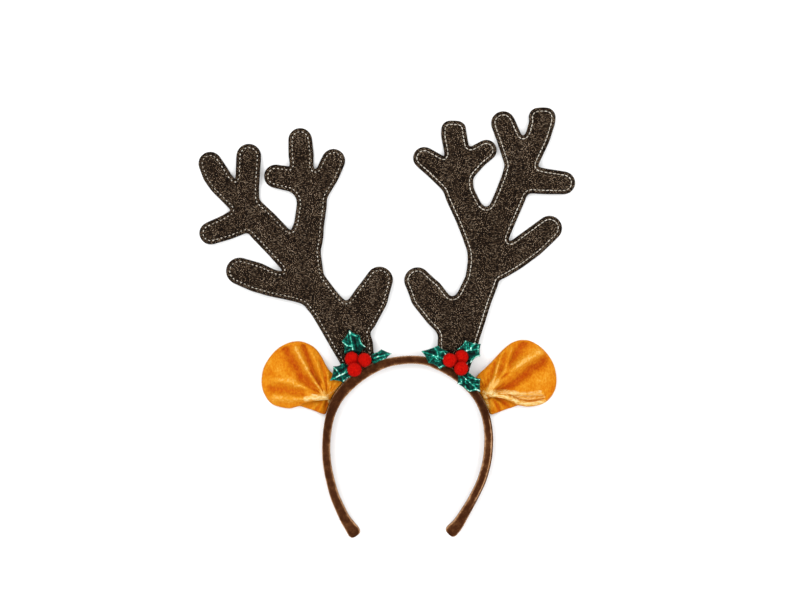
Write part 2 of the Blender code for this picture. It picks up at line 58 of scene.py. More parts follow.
# The antlers: heights and thicknesses as in the part's source, with the seam that holds the padding.
STITCH_INSET = 2.9
STITCH_PITCH = 3.2
STITCH_SIDES = 6
STITCH_CLEARANCE = 7.0  # from the hoop's middle line, where the seam is covered
LOOP_PITCH = 0.80  # of the knit that the flecks sit in
FOOT_LEVEL = 5.5
FALL_START, FALL_END = -10.0, 75.0
PAD_HALF = 2.3
ANTLER_RINGS = (0.12, 0.35, 0.8, 1.5, 2.1, 2.55, 2.9, 3.25, 3.7, 4.5, 5.6)
ANTLER_SPACING = 1.3

# The cloth that is blown up to shape an antler's padding, and how far that lifts each face. The slack is the
# share by which the cloth is larger than its frame, as the solver's shrink factor takes it.
CLOTH_SPACING = 1.9
CLOTH_SCALE = 0.02
CLOTH_SLACK = -0.05
CLOTH_FRAMES = 20
PADDING_LIFT = 1.42

# The ears: height of the velvet's middle at the edge, and how much higher it lies inside.
EAR_RIM_LEVEL = 4.6
EAR_DOME = 3.2
FLAP_LEVEL = 2.6
EAR_RINGS = (0.15, 0.45, 0.9, 1.5)
EAR_SPACING, FLAP_SPACING = 0.55, 0.7
PLEATS = 26  # gathers for each turn round the pinch, over two pi

# The leaves and berries.
LEAF_RINGS = (0.12, 0.35, 0.7)
LEAF_SPACING = 0.42
BERRY_COLUMNS, BERRY_ROWS = 40, 24
BERRY_SWELL = 0.5  # how far the pompom's core stands out past the CAD ball
BERRY_FIBRES = 2600

# The hoop: its height above the floor, the radius of its long edges, and where its seam and shadows lie.
BAND_DEPTH = 11.0
BAND_CORNER = 2.6
SEAM_ACROSS = 1.8  # from the hoop's middle line to its seam, on the outer side
SEAM_WIDTH = 0.4
SEAM_MIN_X, SEAM_MIN_Y, SEAM_MAX_Y = 55.0, -146.0, -70.0
SEAM_LOW_FADE, SEAM_HIGH_FADE = 14.0, 6.0
EAR_SHADOW_Y, EAR_SHADOW_REACH = -68.0, 13.0  # the velour is darker beside the ears
PILE_FIBRES = 26000

# The hoop's middle line, from the left end round to the right end: x, y and half the width across the plan.
BAND_LINE = (
    (-25.2, -160.2, 4.8),
    (-28.5, -155.3, 4.2),
    (-31.8, -150.3, 3.8),
    (-36.7, -140.0, 3.5),
    (-40.6, -130.0, 3.3),
    (-45.2, -110.0, 3.1),
    (-46.0, -92.0, 3.0),
    (-43.6, -74.1, 3.3),
    (-38.3, -60.3, 3.9),
    (-30.7, -50.4, 4.1),
    (-20.2, -41.4, 4.0),
    (-9.9, -35.3, 3.7),
    (2.0, -30.8, 3.2),
    (17.0, -28.8, 3.0),
    (30.0, -29.7, 3.1),
    (40.1, -33.4, 3.3),
    (50.2, -38.9, 3.2),
    (60.4, -47.0, 3.1),
    (69.0, -56.8, 3.0),
    (75.0, -68.5, 3.1),
    (77.8, -80.0, 3.2),
    (78.5, -92.0, 3.3),
    (77.2, -106.1, 3.3),
    (73.5, -120.1, 3.3),
    (69.0, -130.1, 3.3),
    (63.7, -140.0, 3.4),
    (57.7, -150.1, 3.9),
    (54.4, -155.2, 4.3),
    (50.6, -159.4, 4.8),
)

# Folds of the velvet: the points that the fold runs through, its half width, its height, which is below zero
# for a valley, and its painted light: -1 paints a valley's deep orange shade, 1 a lit ridge's pale highlight.
LEFT_FOLDS = (
    (((-69.5, -20.0), (-65.0, -28.0), (-60.0, -37.0), (-55.0, -44.0), (-50.0, -52.0), (-46.0, -57.0)),
     1.5, 2.8, 1.0),
    (((-64.0, -18.0), (-60.5, -26.0), (-58.0, -33.0), (-55.0, -40.0), (-51.5, -46.5)), 1.9, -2.8, -0.9),
    (((-77.0, -21.0), (-70.0, -33.0), (-65.0, -42.0), (-60.0, -47.5), (-53.0, -54.0)), 3.2, -3.2, -0.9),
    (((-87.0, -44.5), (-80.0, -44.5), (-70.0, -47.0), (-63.0, -49.0), (-56.0, -53.0), (-47.0, -57.0)),
     2.4, 2.4, 0.6),
    (((-89.0, -51.0), (-76.0, -52.0), (-64.0, -54.5)), 2.4, -1.6, -0.6),
    (((-86.0, -57.5), (-77.0, -58.5), (-62.0, -58.0), (-47.0, -57.0)), 2.8, 3.0, 0.6),
    (((-56.5, -24.0), (-52.5, -33.0), (-50.0, -42.0), (-47.0, -52.0)), 1.5, 1.5, 0.45),
    (((-50.5, -29.0), (-48.0, -38.0), (-46.3, -48.0), (-45.3, -55.0)), 1.1, -1.1, -0.5),
    (((-45.0, -39.0), (-43.5, -48.0), (-44.0, -55.0)), 1.3, 0.9, 0.3),
    (((-89.0, -31.0), (-82.0, -37.0), (-74.0, -43.0)), 3.6, 0.9, 0.35),
    (((-58.2, -37.0), (-55.6, -41.0), (-52.0, -46.6), (-48.6, -53.0)), 0.6, -1.3, -1.2),
    (((-45.5, -57.2), (-45.4, -57.3)), 2.2, -1.6, -0.6),
)
RIGHT_FOLDS = (
    (((90.0, -22.0), (87.0, -27.0), (84.5, -35.0), (83.0, -42.0), (79.0, -48.0), (77.0, -53.0)),
     1.2, 2.0, 0.7),
    (((86.5, -27.0), (82.5, -34.0), (80.0, -42.0), (76.5, -49.0)), 1.5, -1.4, -0.4),
    (((95.5, -20.0), (93.5, -30.0), (91.0, -36.0), (84.0, -47.0), (79.0, -53.0)), 1.6, 1.9, 0.6),
    (((91.0, -24.0), (88.5, -33.0), (86.5, -41.0)), 1.3, -1.2, -0.4),
    (((106.0, -15.5), (98.5, -25.0), (94.5, -33.0), (89.0, -41.0)), 3.2, -3.0, -0.9),
    (((119.0, -22.0), (108.0, -28.0), (100.0, -33.0), (94.0, -37.0), (90.0, -40.0), (79.0, -52.0)),
     3.0, 4.1, 0.9),
    (((86.5, -43.5), (94.0, -38.5)), 0.9, -1.0, -0.6),
    (((121.0, -29.5), (110.0, -36.5), (103.0, -42.5), (95.0, -48.5), (85.0, -52.0)), 3.2, -3.4, -1.0),
    (((123.0, -41.0), (113.0, -46.0), (101.0, -51.0)), 4.0, 0.9, 0.35),
    (((77.0, -54.6), (85.0, -53.8), (93.0, -54.0), (103.0, -55.0), (112.0, -55.4), (120.0, -54.5)),
     1.5, 2.0, 0.5),
    (((86.0, -54.9), (94.0, -55.6), (99.5, -58.0), (104.0, -59.8), (112.0, -60.4), (120.0, -58.8)),
     0.7, -1.6, -1.0),
    (((99.0, -56.2), (108.0, -57.2), (119.0, -56.6)), 0.9, -0.8, -0.5),
    (((79.0, -56.0), (88.0, -56.2), (95.0, -58.2), (99.5, -60.8), (106.0, -62.4), (119.0, -61.2)),
     1.8, 2.2, 0.4),
    (((78.6, -56.2), (78.7, -56.3)), 2.0, -1.6, -0.6),
)
LEFT_FLAP_FOLDS = (
    (((-47.0, -59.0), (-52.0, -69.0)), 1.4, 1.0, 0.5),
    (((-47.0, -59.0), (-58.0, -67.0)), 1.4, 0.9, 0.4),
    (((-46.0, -60.0), (-46.5, -70.0)), 1.3, -0.7, -0.6),
    (((-48.0, -59.0), (-55.0, -68.5)), 1.2, -0.8, -0.6),
)
RIGHT_FLAP_FOLDS = (
    (((81.0, -58.0), (82.5, -64.0), (84.5, -70.0)), 1.3, 1.0, 0.5),
    (((81.0, -57.0), (87.0, -62.0), (90.0, -68.0)), 1.2, 0.9, 0.5),
    (((80.5, -58.0), (84.5, -63.0), (87.3, -69.0)), 1.1, -0.8, -0.8),
    (((82.0, -57.0), (90.0, -61.5), (95.0, -65.5)), 1.2, -0.8, -0.7),
    (((80.0, -59.0), (80.6, -70.5)), 0.9, 0.5, 0.5),
)

# Where the velvet rolls over and its cream back shows: points of the strip's middle, half width and strength.
LEFT_CREAM = (
    (((-61.5, -58.6), (-57.0, -57.6), (-51.0, -58.4), (-46.0, -58.6)), 1.9, 0.9),
    (((-56.5, -55.2), (-51.5, -56.2), (-47.0, -57.4)), 0.7, 0.9),
    (((-45.0, -56.0), (-40.5, -52.6), (-36.5, -49.8)), 0.7, 0.55),
    (((-45.0, -57.6), (-42.0, -56.4)), 0.6, 0.5),
)
RIGHT_CREAM = (
    (((74.6, -53.5), (75.4, -56.5), (77.0, -60.5), (78.3, -65.5), (79.6, -70.0)), 1.1, 1.0),
    (((76.0, -55.2), (80.0, -53.2), (90.4, -52.4), (97.0, -53.6)), 1.1, 1.0),
    (((97.0, -53.6), (104.0, -54.4), (112.0, -53.8), (118.0, -53.0)), 1.0, 0.62),
    (((84.0, -54.6), (92.0, -54.6), (100.0, -56.6), (108.0, -58.0), (118.0, -57.0)), 2.6, 0.62),
    (((80.0, -55.4), (88.0, -56.0), (95.9, -57.8), (100.3, -60.6)), 1.9, 1.0),
    (((100.3, -60.6), (106.8, -62.4), (113.5, -62.6), (120.5, -60.6)), 1.9, 1.0),
    (((108.0, -58.4), (114.0, -58.8), (121.0, -57.2)), 0.8, 0.55),
)
LEFT_FLAP_CREAM = ((((-43.5, -57.0), (-41.0, -66.0)), 2.2, 1.0),)
RIGHT_FLAP_CREAM = ((((75.0, -56.0), (77.0, -66.0)), 2.2, 1.0),)

# The rolled lower edge of each ear's front layer, from its outer end in to the band.
LEFT_ROLL = ((-67.0, -64.6), (-62.0, -61.8), (-56.0, -60.4), (-50.0, -59.8), (-45.5, -59.4), (-41.5, -60.0))
RIGHT_ROLL = (
    (101.0, -64.0), (97.5, -62.0), (94.0, -60.2), (90.0, -58.6), (85.0, -57.6), (79.0, -57.6), (73.0, -60.0)
)

# Each ear: where it is pinched, its tables, and a point inside its front layer and one inside its flap.
EARS = {
    "ear_left": {
        "pinch": (-45.5, -57.5),
        "roll": LEFT_ROLL,
        "folds": LEFT_FOLDS,
        "cream": LEFT_CREAM,
        "flap_folds": LEFT_FLAP_FOLDS,
        "flap_cream": LEFT_FLAP_CREAM,
        "in_front": (-70.0, -35.0),
        "in_flap": (-50.0, -67.0),
    },
    "ear_right": {
        "pinch": (78.5, -56.0),
        "roll": RIGHT_ROLL,
        "folds": RIGHT_FOLDS,
        "cream": RIGHT_CREAM,
        "flap_folds": RIGHT_FLAP_FOLDS,
        "flap_cream": RIGHT_FLAP_CREAM,
        "in_front": (105.0, -35.0),
        "in_flap": (85.0, -67.0),
    },
}

# Creases of the leaves' shiny fabric, painted with a highlight on a ridge and shade on a valley, whose height
# is below
# zero: points of the line, half width and height.
LEAF_CREASES = {
    "holly_left_top": (
        (((-28.3, -7.0), (-26.0, -9.5), (-22.5, -10.5)), 0.6, 0.8),
        (((-30.0, -9.0), (-29.5, -13.0)), 0.5, 0.6),
        (((-28.0, -8.0), (-27.3, -12.0), (-26.5, -16.0), (-25.5, -21.0)), 0.6, 0.9),
        (((-33.5, -15.0), (-30.0, -18.0), (-27.0, -18.5)), 0.6, 0.8),
        (((-31.8, -22.5), (-28.5, -21.5), (-26.2, -20.5)), 0.5, 0.6),
        (((-21.0, -12.0), (-19.5, -16.5), (-16.5, -18.5)), 0.6, 0.8),
        (((-24.4, -12.0), (-23.0, -20.0)), 0.7, -0.8),
        (((-20.5, -14.0), (-24.0, -17.5)), 0.5, 0.5),
    ),
    "holly_left_inner": (
        (((-9.5, -27.5), (-3.0, -25.5), (3.6, -24.1)), 0.6, 0.8),
        (((-7.0, -26.5), (-4.5, -23.4), (-3.8, -21.3)), 0.5, 0.7),
        (((-1.5, -25.3), (-0.6, -27.6)), 0.5, 0.6),
        (((-10.0, -24.5), (-6.5, -23.0)), 0.5, 0.6),
        (((-9.0, -30.5), (-5.0, -28.4), (-2.0, -28.0)), 0.6, 0.7),
        (((-8.0, -25.0), (-3.0, -24.0)), 0.5, -0.6),
    ),
    "holly_left_outer": (
        (((-29.0, -37.5), (-36.0, -41.0), (-42.8, -44.4)), 0.6, 0.8),
        (((-40.2, -34.4), (-37.5, -37.0), (-35.5, -40.3)), 0.5, 0.8),
        (((-38.0, -41.4), (-33.0, -39.6), (-30.0, -36.0)), 0.6, 0.8),
        (((-34.0, -32.5), (-33.0, -38.5)), 0.5, 0.6),
        (((-32.5, -45.2), (-30.5, -43.3), (-28.0, -41.8)), 0.7, 0.9),
        (((-33.5, -41.5), (-32.8, -45.0)), 0.5, 0.6),
        (((-37.0, -38.5), (-31.5, -35.0)), 0.6, -0.7),
    ),
    "holly_right_inner": (
        (((44.0, -28.0), (36.0, -25.2), (28.0, -22.5)), 0.6, 0.8),
        (((37.0, -19.5), (38.7, -22.0), (39.5, -25.5)), 0.6, 0.9),
        (((41.5, -22.8), (44.0, -22.3), (45.8, -25.5)), 0.6, 0.9),
        (((33.0, -26.2), (37.0, -26.3), (39.5, -28.6)), 0.6, 0.8),
        (((38.0, -30.0), (41.5, -29.2)), 0.5, 0.7),
        (((32.5, -30.5), (35.5, -27.8)), 0.5, 0.6),
        (((40.0, -34.5), (43.5, -33.0)), 0.6, 0.8),
        (((33.0, -22.6), (37.0, -23.0)), 0.6, -0.7),
    ),
    "holly_right_top": (
        (((59.0, -22.2), (65.0, -21.4), (71.4, -20.5)), 0.5, 0.7),
        (((60.8, -14.6), (61.3, -22.3)), 0.5, 0.9),
        (((62.6, -15.6), (62.6, -22.0)), 0.4, 0.7),
        (((64.2, -21.0), (65.4, -18.6), (67.8, -16.2)), 0.9, 1.0),
        (((70.4, -17.6), (70.0, -24.0)), 0.5, 0.8),
        (((64.6, -30.6), (66.0, -27.6), (71.0, -25.4)), 0.6, 0.9),
        (((55.0, -20.8), (57.5, -17.8), (59.6, -16.0)), 0.5, 0.6),
        (((63.5, -24.6), (67.5, -23.6)), 0.7, -0.7),
    ),
    "holly_right_outer": (
        (((58.0, -40.8), (64.5, -46.5), (71.2, -52.6)), 0.6, 0.8),
        (((57.0, -43.0), (57.6, -46.4), (55.0, -46.8)), 0.6, 0.8),
        (((62.3, -41.6), (68.0, -43.4), (71.5, -43.8)), 0.5, 0.9),
        (((60.5, -43.5), (60.3, -49.5), (62.8, -52.2)), 0.5, 0.8),
        (((64.0, -52.2), (67.5, -51.2), (71.0, -52.4)), 0.6, 0.9),
        (((66.5, -46.8), (71.0, -47.6)), 0.5, 0.7),
        (((59.5, -47.0), (63.0, -49.2)), 0.6, -0.7),
    ),
}

# How the middle surface of each leaf rises, for each millimetre along X and along Y.
LEAF_TILTS = {
    "holly_left_top": (0.0, 0.01),
    "holly_left_inner": (0.036, -0.197),
    "holly_left_outer": (0.049, 0.024),
    "holly_right_inner": (0.063, -0.19),
    "holly_right_top": (0.0, 0.0),
    "holly_right_outer": (0.0, 0.0),
}


def cad_outline(node):
    """The plan outline of a sheet-like CAD node, where its front meets its walls, anticlockwise."""
    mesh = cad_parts[node].data
    mesh.calc_loop_triangles()
    points = np.array([vertex.co for vertex in mesh.vertices]) / MM
    triangles = np.array([triangle.vertices for triangle in mesh.loop_triangles])
    _, first, place = np.unique(np.round(points, 3), axis=0, return_index=True, return_inverse=True)
    points, triangles = points[first], place.reshape(-1)[triangles]
    a, b, c = (points[triangles[:, i]] for i in range(3))
    normals = np.cross(b - a, c - a)
    rises = normals[:, 2] / np.maximum(np.linalg.norm(normals, axis=1), 1e-9)
    front = triangles[rises > 0.1]
    edges = {(i, j) for face in front for i, j in zip(face, np.roll(face, -1))}
    follow = {i: j for i, j in edges if (j, i) not in edges}
    loops = []
    while follow:
        start = at = next(iter(follow))
        loop = []
        while at in follow:
            loop.append(at)
            at = follow.pop(at)
        loops.append(loop)
    return points[max(loops, key=len)][:, :2] - CENTRING


def resample(path, step, closed=False):
    """Points at an even step along a path. Columns after the first two are carried along."""
    path = np.array(path, float)
    if closed:
        path = np.vstack([path, path[:1]])
    along = np.concatenate([[0], np.cumsum(np.hypot(*np.diff(path[:, :2], axis=0).T))])
    count = max(3, round(along[-1] / step))
    wanted = np.linspace(0, along[-1], count + 1)[: count if closed else count + 1]
    return np.column_stack([np.interp(wanted, along, column) for column in path.T])


def smooth_path(rows, step):
    """A curve through every row (Catmull-Rom), resampled at an even step."""
    rows = np.array(rows, float)
    around = np.vstack([2 * rows[0] - rows[1], rows, 2 * rows[-1] - rows[-2]])
    fine = []
    for a, b, c, d in zip(around, around[1:], around[2:], around[3:]):
        for t in np.linspace(0, 1, 10, endpoint=False):
            cubic = (3 * b - a - 3 * c + d) * t**3
            fine.append((2 * b + (c - a) * t + (2 * a - 5 * b + 4 * c - d) * t**2 + cubic) / 2)
    fine.append(rows[-1])
    return resample(fine, step)


def smooth_outline(loop, step, reach, corner=50):
    """A closed outline at an even step, averaged over a reach except near corners of more degrees."""
    fine = resample(loop, step, closed=True)
    look = max(1, round(0.8 / step))
    back = fine - np.roll(fine, look, axis=0)
    ahead = np.roll(fine, -look, axis=0) - fine
    cross = back[:, 0] * ahead[:, 1] - back[:, 1] * ahead[:, 0]
    turn = np.degrees(np.abs(np.arctan2(cross, (back * ahead).sum(axis=1))))
    window = max(1, round(reach / step))
    free = np.ones(len(fine))
    for shift in range(-window, window + 1):
        near_corner = np.roll(turn > corner, shift)
        free = np.where(near_corner, np.minimum(free, abs(shift) / window), free)
    weights = np.hanning(2 * window + 3)[1:-1]
    averaged = sum(w * np.roll(fine, i - window, axis=0) for i, w in enumerate(weights)) / weights.sum()
    return fine + free[:, None] * (averaged - fine)


def segment_distance(x, y, a, b):
    dx, dy = b[0] - a[0], b[1] - a[1]
    t = np.clip(((x - a[0]) * dx + (y - a[1]) * dy) / max(dx * dx + dy * dy, 1e-12), 0, 1)
    return np.hypot(x - a[0] - t * dx, y - a[1] - t * dy)


def line_distance(x, y, line):
    return np.min([segment_distance(x, y, a, b) for a, b in zip(line, line[1:])], axis=0)


def inset_in(x, y, loop):
    """How far inside a closed outline each point is. Below zero outside."""
    nearest = np.full(np.shape(x), 1e9)
    inside = np.zeros(np.shape(x), bool)
    for a, b in zip(loop, np.roll(loop, -1, axis=0)):
        nearest = np.minimum(nearest, segment_distance(x, y, a, b))
        if a[1] != b[1]:
            crosses = (a[1] > y) != (b[1] > y)
            inside ^= crosses & (x < a[0] + (y - a[1]) * (b[0] - a[0]) / (b[1] - a[1]))
    return np.where(inside, nearest, -nearest)


def offset_inwards(loop, inset):
    """The points of an anticlockwise outline moved inwards, without those that would cross over."""
    along = np.roll(loop, -1, axis=0) - np.roll(loop, 1, axis=0)
    along /= np.linalg.norm(along, axis=1)[:, None]
    moved = loop + inset * np.column_stack([-along[:, 1], along[:, 0]])
    return moved[inset_in(moved[:, 0], moved[:, 1], loop) > inset * 0.96]


def triangular_grid(loop, spacing):
    """The x and the y of a triangular grid over the box round an outline."""
    lows, highs = loop.min(axis=0), loop.max(axis=0)
    rows = np.arange(lows[1], highs[1], spacing * math.sqrt(3) / 2)
    x, y = np.meshgrid(np.arange(lows[0], highs[0], spacing), rows)
    x = (x + (np.arange(len(rows)) % 2)[:, None] * spacing / 2).ravel()
    return x, y.ravel()


def fill_outline(border, inner):
    """Triangles over a border and the points inside it: places, faces, and which places are on the border."""
    everything = [Vector(point) for point in np.vstack([border, inner])]
    edges = [(i, (i + 1) % len(border)) for i in range(len(border))]
    found, _, faces, sources, _, _ = delaunay_2d_cdt(everything, edges, [], 1, 1e-6)
    on_border = np.array([any(source < len(border) for source in group) for group in sources])
    return np.array([tuple(place) for place in found]), np.array(faces), on_border


def cut_outline(loop, line, keep):
    """The side of a closed outline on which the point keep lies, cut along a line that crosses it."""
    line = np.array(line, float)
    first, last = (int(np.argmin(np.hypot(*(loop - end).T))) for end in (line[0], line[-1]))
    from_first = np.roll(loop, -first, axis=0)[: (last - first) % len(loop) + 1]
    from_last = np.roll(loop, -last, axis=0)[: (first - last) % len(loop) + 1]
    inner = line[1:-1]
    for side in (np.vstack([from_first, inner[::-1]]), np.vstack([from_last, inner])):
        if inset_in(np.array(keep[0]), np.array(keep[1]), side) > 0:
            return side
    raise ValueError("the line doesn't cut the outline")


def soft_noise(x, y, size, seed=0):
    """A smooth uneven surface between -1 and 1 with swells of about this size in millimetres."""
    phases = np.random.default_rng(RANDOM_SEED + seed).uniform(0, 2 * math.pi, (6, 2))
    total = np.zeros(np.shape(x))
    for index, (turn, phase) in enumerate(phases):
        pace = 2 * math.pi / (size * (0.7 + 0.13 * index))
        total = total + np.sin(pace * (x * math.cos(turn) + y * math.sin(turn)) + phase)
    return total / len(phases)


def new_piece(name, points, faces, material, smooth=True, **facts):
    """A mesh from plan millimetres, with a number for each point stored under each extra name."""
    placed = (np.array(points, float) + [*CENTRING, 0]) * MM
    mesh = bpy.data.meshes.new(name)
    mesh.from_pydata(placed.tolist(), [], [tuple(int(i) for i in face) for face in faces])
    mesh.polygons.foreach_set("use_smooth", [smooth] * len(mesh.polygons))
    mesh.materials.append(material)
    for key, values in facts.items():
        mesh.attributes.new(key, "FLOAT", "POINT").data.foreach_set("value", np.array(values, np.float32))
    obj = bpy.data.objects.new(name, mesh)
    bpy.context.scene.collection.objects.link(obj)
    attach(obj, "root")
    return obj


def soft_sheet(name, rim, rings, spacing, surface, material):
    """A closed soft body over a plan outline, its front and back meeting at the rim.

    surface takes x, y and the inset, and gives the middle height, half the thickness and a dict of facts.
    """
    ring_points = [offset_inwards(rim, inset) for inset in rings]
    x, y = triangular_grid(rim, spacing)
    deep = inset_in(x, y, rim) > rings[-1] + spacing * 0.55
    inner = np.vstack([*ring_points, np.column_stack([x[deep], y[deep]])])
    plan, faces, on_rim = fill_outline(rim, inner)
    inset = np.where(on_rim, 0.0, np.maximum(inset_in(plan[:, 0], plan[:, 1], rim), 0.0))
    middle, half, facts = surface(plan[:, 0], plan[:, 1], inset)
    half = np.where(on_rim, 0.0, half)
    back_index = np.where(on_rim, np.arange(len(plan)), len(plan) + np.cumsum(~on_rim) - 1)
    front = np.column_stack([plan, middle + half])
    back = np.column_stack([plan, middle - half])[~on_rim]

    faces = faces[~on_rim[faces].all(axis=1)]  # one with every corner on the rim would be in both layers
    a, b, c = (plan[faces[:, i]] for i in range(3))
    turn = (b - a)[:, 0] * (c - a)[:, 1] - (b - a)[:, 1] * (c - a)[:, 0]
    faces = np.where((turn > 0)[:, None], faces, faces[:, ::-1])
    both = np.vstack([faces, back_index[faces][:, ::-1]])
    facts = {
        key: np.concatenate([values, values[~on_rim] * (0.0 if key in FRONT_FACTS else 1.0)])
        for key, values in facts.items()
    }
    return new_piece(name, np.vstack([front, back]), both, material, **facts)


def round_edge(inset, radius):
    """Rises from 0 at the rim to 1 at the radius as a quarter circle."""
    return np.sqrt(1 - (1 - np.clip(inset / radius, 0, 1)) ** 2)


def fold_sum(x, y, folds, column):
    """One column of the folds, each spread across its line as a smooth bump. A half width is in column 1."""
    total = np.zeros(np.shape(x))
    for row in folds:
        total += row[column] * np.exp(-((line_distance(x, y, row[0]) / row[1]) ** 2))
    return total


class Shade:
    """A material with its Principled shader, and short ways to add nodes to it."""

    def __init__(self, name, **sockets):
        self.material = bpy.data.materials.new(name)
        self.material.use_nodes = True
        self.tree = self.material.node_tree
        self.shader = self.tree.nodes["Principled BSDF"]
        for socket, value in sockets.items():
            self.shader.inputs[socket.replace("_", " ")].default_value = value
        self.place = self.node("ShaderNodeTexCoord").outputs["Object"]

    def node(self, kind, inputs=None, **settings):
        made = self.tree.nodes.new(kind)
        for key, value in settings.items():
            setattr(made, key, value)
        for key, value in (inputs or {}).items():
            self.put(made.inputs[key], value)
        return made

    def put(self, socket, value):
        if isinstance(value, bpy.types.NodeSocket):
            self.tree.links.new(value, socket)
        else:
            socket.default_value = value

    def noise(self, size_mm, detail=2.0, roughness=0.5, stretch=(1, 1, 1)):
        """Noise from about 0.3 to 0.7, with features of this size in millimetres."""
        place = self.node("ShaderNodeVectorMath", {0: self.place, 1: stretch}, operation="MULTIPLY")
        inputs = {"Vector": place.outputs[0], "Scale": 1 / (size_mm * MM)}
        inputs |= {"Detail": detail, "Roughness": roughness}
        return self.node("ShaderNodeTexNoise", inputs).outputs["Fac"]

    def cells(self, size_mm, **settings):
        inputs = {"Vector": self.place, "Scale": 1 / (size_mm * MM)}
        return self.node("ShaderNodeTexVoronoi", inputs, **settings)

    def fact(self, name):
        return self.node("ShaderNodeAttribute", attribute_name=name).outputs["Fac"]

    def ramp(self, fac, *stops):
        """Colours along a number from 0 to 1: each stop is a position and a linear RGB colour."""
        made = self.node("ShaderNodeValToRGB", {"Fac": fac})
        elements = made.color_ramp.elements
        while len(elements) < len(stops):
            elements.new(1.0)
        for element, (position, colour) in zip(elements, stops):
            element.position = position
            element.color = (*colour, 1)
        return made.outputs["Color"]

    def mix(self, fac, a, b, blend="MIX"):
        made = self.node("ShaderNodeMix", data_type="RGBA", blend_type=blend)
        self.put(made.inputs["Factor"], fac)
        self.put(made.inputs["A"], a if isinstance(a, bpy.types.NodeSocket) else (*a, 1))
        self.put(made.inputs["B"], b if isinstance(b, bpy.types.NodeSocket) else (*b, 1))
        return made.outputs["Result"]

    def between(self, value, low, high, out_low=0.0, out_high=1.0):
        """A number mapped from low..high to out_low..out_high, and held at the ends."""
        inputs = {"Value": value, "From Min": low, "From Max": high, "To Min": out_low, "To Max": out_high}
        return self.node("ShaderNodeMapRange", inputs).outputs["Result"]

    def maths(self, operation, a, b=0.0):
        return self.node("ShaderNodeMath", {0: a, 1: b}, operation=operation).outputs[0]

    def bump(self, height, depth_mm, strength=1.0):
        inputs = {"Height": height, "Distance": depth_mm * MM, "Strength": strength}
        bump = self.node("ShaderNodeBump", inputs)
        self.put(self.shader.inputs["Normal"], bump.outputs["Normal"])

    def finish(self, **sockets):
        for socket, value in sockets.items():
            self.put(self.shader.inputs[socket.replace("_", " ")], value)
        return self.material


def antler_fabric():
    """Dark brown knit with a fleck of metal thread in some of its loops."""
    shade = Shade("antler_fabric", Specular_IOR_Level=0.04)
    loops = shade.cells(LOOP_PITCH, voronoi_dimensions="2D")
    loops.inputs["Randomness"].default_value = 0.85
    chance = shade.node("ShaderNodeSeparateColor", {"Color": loops.outputs["Color"]})
    spot = shade.between(loops.outputs["Distance"], 0.16, 0.46, 1.0, 0.0)
    lit = shade.between(chance.outputs["Red"], 0.10, 0.95, 0.05, 1.0)
    drift = shade.between(shade.noise(11.0, 3.0), 0.3, 0.7, 0.88, 1.12)
    level = shade.maths("MULTIPLY", shade.maths("MULTIPLY", spot, lit), drift)
    yarn = shade.between(shade.noise(0.5, 2.0), 0.3, 0.7, -0.08, 0.08)
    colour = shade.ramp(
        shade.maths("ADD", level, yarn),
        (0.00, (0.0034, 0.0018, 0.0010)),
        (0.22, (0.0120, 0.0066, 0.0036)),
        (0.50, (0.0690, 0.0420, 0.0240)),
        (0.78, (0.2000, 0.1380, 0.0850)),
        (1.00, (0.4800, 0.3800, 0.2800)),
    )
    edge = shade.fact("edge")
    colour = shade.mix(shade.between(edge, 0.0, 1.0, 0.0, 0.75), colour, (0.006, 0.005, 0.004))
    metal = shade.between(level, 0.55, 0.95, 0.0, 0.4)
    rough = shade.between(level, 0.4, 0.95, 0.85, 0.42)
    shade.bump(shade.maths("ADD", chance.outputs["Green"], spot), 0.2, 0.6)
    return shade.finish(Base_Color=colour, Metallic=metal, Roughness=rough)


def thread():
    """Pale cream sewing thread with its twist."""
    shade = Shade("thread", Specular_IOR_Level=0.4, Sheen_Weight=0.2)
    twist = shade.noise(0.3, 1.0)
    strand = shade.between(twist, 0.3, 0.7)
    colour = shade.ramp(strand, (0.0, (0.52, 0.46, 0.37)), (1.0, (0.86, 0.82, 0.74)))
    wear = shade.between(shade.noise(5.0, 3.0), 0.36, 0.62, 0.0, 0.75)
    colour = shade.mix(wear, colour, (0.20, 0.16, 0.11))
    shade.bump(twist, 0.1, 0.6)
    return shade.finish(Base_Color=colour, Roughness=0.6)


